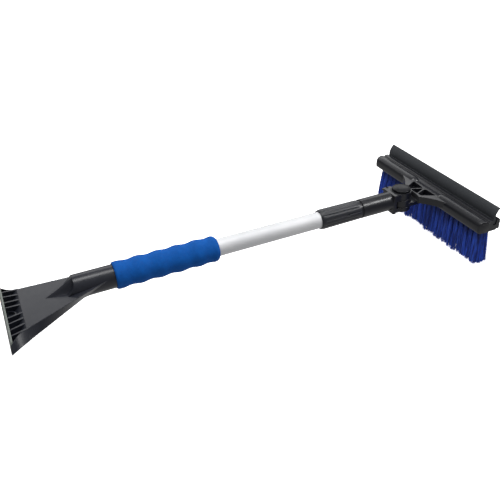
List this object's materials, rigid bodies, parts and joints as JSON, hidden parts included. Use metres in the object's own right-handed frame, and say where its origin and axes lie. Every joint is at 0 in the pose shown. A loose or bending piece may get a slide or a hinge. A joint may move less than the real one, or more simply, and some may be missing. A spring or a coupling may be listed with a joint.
{
  "type": "telescopic snow brush and ice scraper",
  "caption": "Telescopic snow brush with a T-shaped turning head of bristles and a squeegee, a twist-lock pole, a foam grip and a fan-shaped ice scraper.",
  "frame": {"origin": "centre of the flat face made by the bristle tips", "axes": "+X along the pole from the scraper to the brush head, +Y along the brush head, +Z from the bristle tips up to the squeegee"},
  "size_m": [0.6055, 0.2266, 0.0829],
  "materials": {
    "scraper_plastic": "satin moulded, charcoal",
    "blade_plastic": "satin, pale grey",
    "collar_plastic": "satin moulded, dark grey",
    "black_plastic": "satin moulded, black",
    "tube_aluminium": "satin anodised",
    "grip_foam": "matte closed-cell foam, blue",
    "squeegee_rubber": "matte, black",
    "blue_bristle": "polymer filament, blue",
    "steel": "zinc plated",
    "white_nylon": "natural nylon"
  },
  "bodies": {
    "handle": {"scraper_head": "scraper_plastic", "scraper_blade": "blade_plastic", "socket_rivet": "steel", "outer_tube": "tube_aluminium", "foam_grip": "grip_foam", "collet_body": "white_nylon", "collet_ring": "white_nylon"},
    "collar": {"lock_collar": "collar_plastic"},
    "slider": {"inner_tube": "tube_aluminium", "guide_plug": "white_nylon", "neck_rivet": "steel", "pivot_yoke": "black_plastic", "pivot_screw": "steel", "pivot_nut": "steel", "button_spring": "steel"},
    "button": {"push_button": "black_plastic", "lock_gear": "black_plastic"},
    "head": {"head_body": "black_plastic", "squeegee_rail": "black_plastic", "squeegee_blade": "squeegee_rubber", "bristle_row_1": "blue_bristle", "bristle_row_2": "blue_bristle", "bristle_row_3": "blue_bristle", "bristle_row_4": "blue_bristle", "bristle_row_5": "blue_bristle"}
  },
  "joints": [
    {"name": "pole_extend", "type": "slide", "parent": "handle", "child": "slider", "axis": [1, 0, 0], "range_m": [0, 0.2]},
    {"name": "collar_twist", "type": "hinge", "parent": "handle", "child": "collar", "pos_m": [-0.16, 0, 0.06], "axis": [1, 0, 0], "range_deg": [0, 90]},
    {"name": "head_pivot", "type": "hinge", "parent": "slider", "child": "head", "pos_m": [-0.0555, 0, 0.06], "axis": [0, 0, 1], "range_deg": [-90, 90]},
    {"name": "button_press", "type": "slide", "parent": "slider", "child": "button", "axis": [0, 0, -1], "range_m": [0, 0.003], "stiffness_N_per_m": 900, "springref_m": -0.0025, "deforming": ["button_spring"]}
  ]
}
